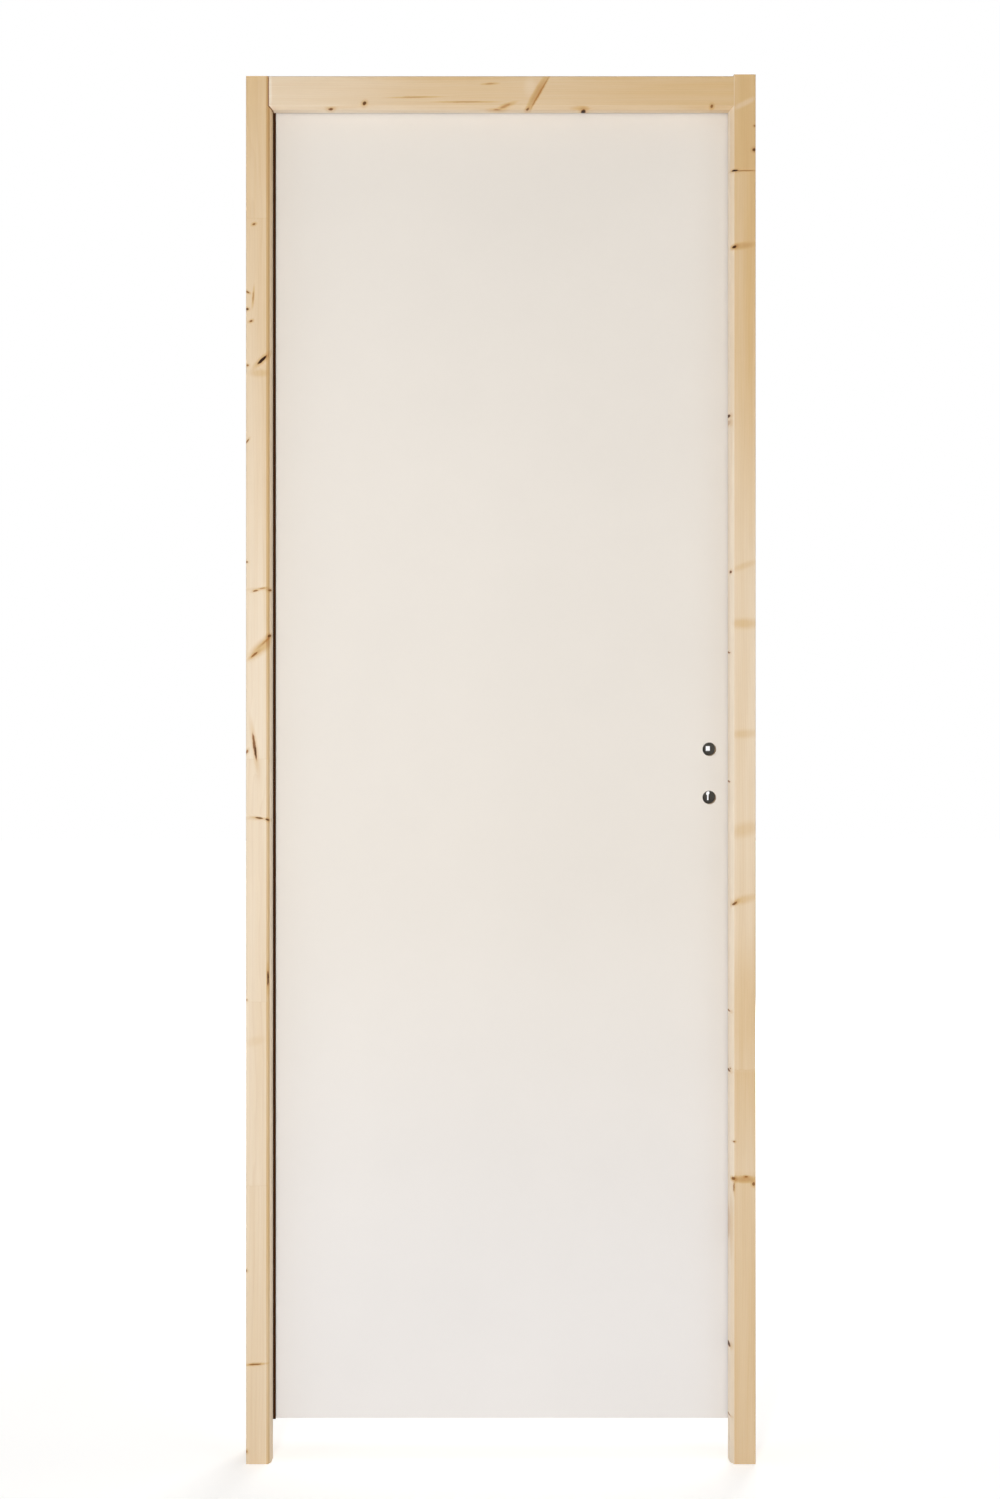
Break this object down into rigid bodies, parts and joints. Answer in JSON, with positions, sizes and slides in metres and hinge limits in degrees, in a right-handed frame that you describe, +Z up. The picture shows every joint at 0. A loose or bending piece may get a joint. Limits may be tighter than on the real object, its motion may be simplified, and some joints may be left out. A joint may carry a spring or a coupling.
{
  "type": "prehung interior door",
  "caption": "Prehung interior door: a primed flush leaf on lift-off hinges in a rebated softwood frame with a moulded opening and a bored mortise lock.",
  "frame": {"origin": "on the hinge jamb's outer face, half way through the frame's depth, at finished floor level", "axes": "+X from the hinge jamb to the lock jamb, +Y from the push side to the pull side, +Z up"},
  "size_m": [0.786, 0.0865, 2.1425],
  "materials": {
    "jamb_softwood": "planed knotty softwood, finger-jointed, unfinished",
    "core_softwood": "sawn softwood, unfinished",
    "primed_skin": "hardboard skin with off-white primer, matte",
    "seal_rubber": "dark brown flexible strip, matte",
    "lock_steel": "pressed steel with grey lacquer, matte",
    "follower_polymer": "grey moulded polymer",
    "plate_steel": "zinc plated steel plate",
    "bolt_metal": "nickel plated steel",
    "hinge_steel": "zinc plated steel, satin",
    "pin_steel": "bright drawn steel",
    "ring_brass": "turned brass"
  },
  "bodies": {
    "frame": {"hinge_jamb": "jamb_softwood", "lock_jamb": "jamb_softwood", "head": "jamb_softwood", "hinge_seal": "seal_rubber", "lock_seal": "seal_rubber", "head_seal": "seal_rubber", "strike_plate": "plate_steel", "hinge_upper_frame_half": "hinge_steel", "hinge_middle_frame_half": "hinge_steel", "hinge_lower_frame_half": "hinge_steel", "hinge_upper_pin": "pin_steel", "hinge_middle_pin": "pin_steel", "hinge_lower_pin": "pin_steel", "hinge_upper_ring": "ring_brass", "hinge_middle_ring": "ring_brass", "hinge_lower_ring": "ring_brass"},
    "leaf": {"leaf_skin_push": "primed_skin", "leaf_skin_pull": "primed_skin", "hinge_stile": "core_softwood", "lock_stile": "core_softwood", "leaf_top_rail": "core_softwood", "leaf_bottom_rail": "core_softwood", "lock_block": "core_softwood", "lock_case": "lock_steel", "lock_cover": "lock_steel", "lock_faceplate": "plate_steel", "lock_follower": "follower_polymer", "latch_bolt": "bolt_metal", "dead_bolt": "bolt_metal", "hinge_upper_leaf_half": "hinge_steel", "hinge_middle_leaf_half": "hinge_steel", "hinge_lower_leaf_half": "hinge_steel"}
  },
  "joints": [
    {"name": "door_swing", "type": "hinge", "parent": "frame", "child": "leaf", "pos_m": [0.0255, 0.044, 1], "axis": [0, 0, 1], "range_deg": [0, 180]}
  ]
}
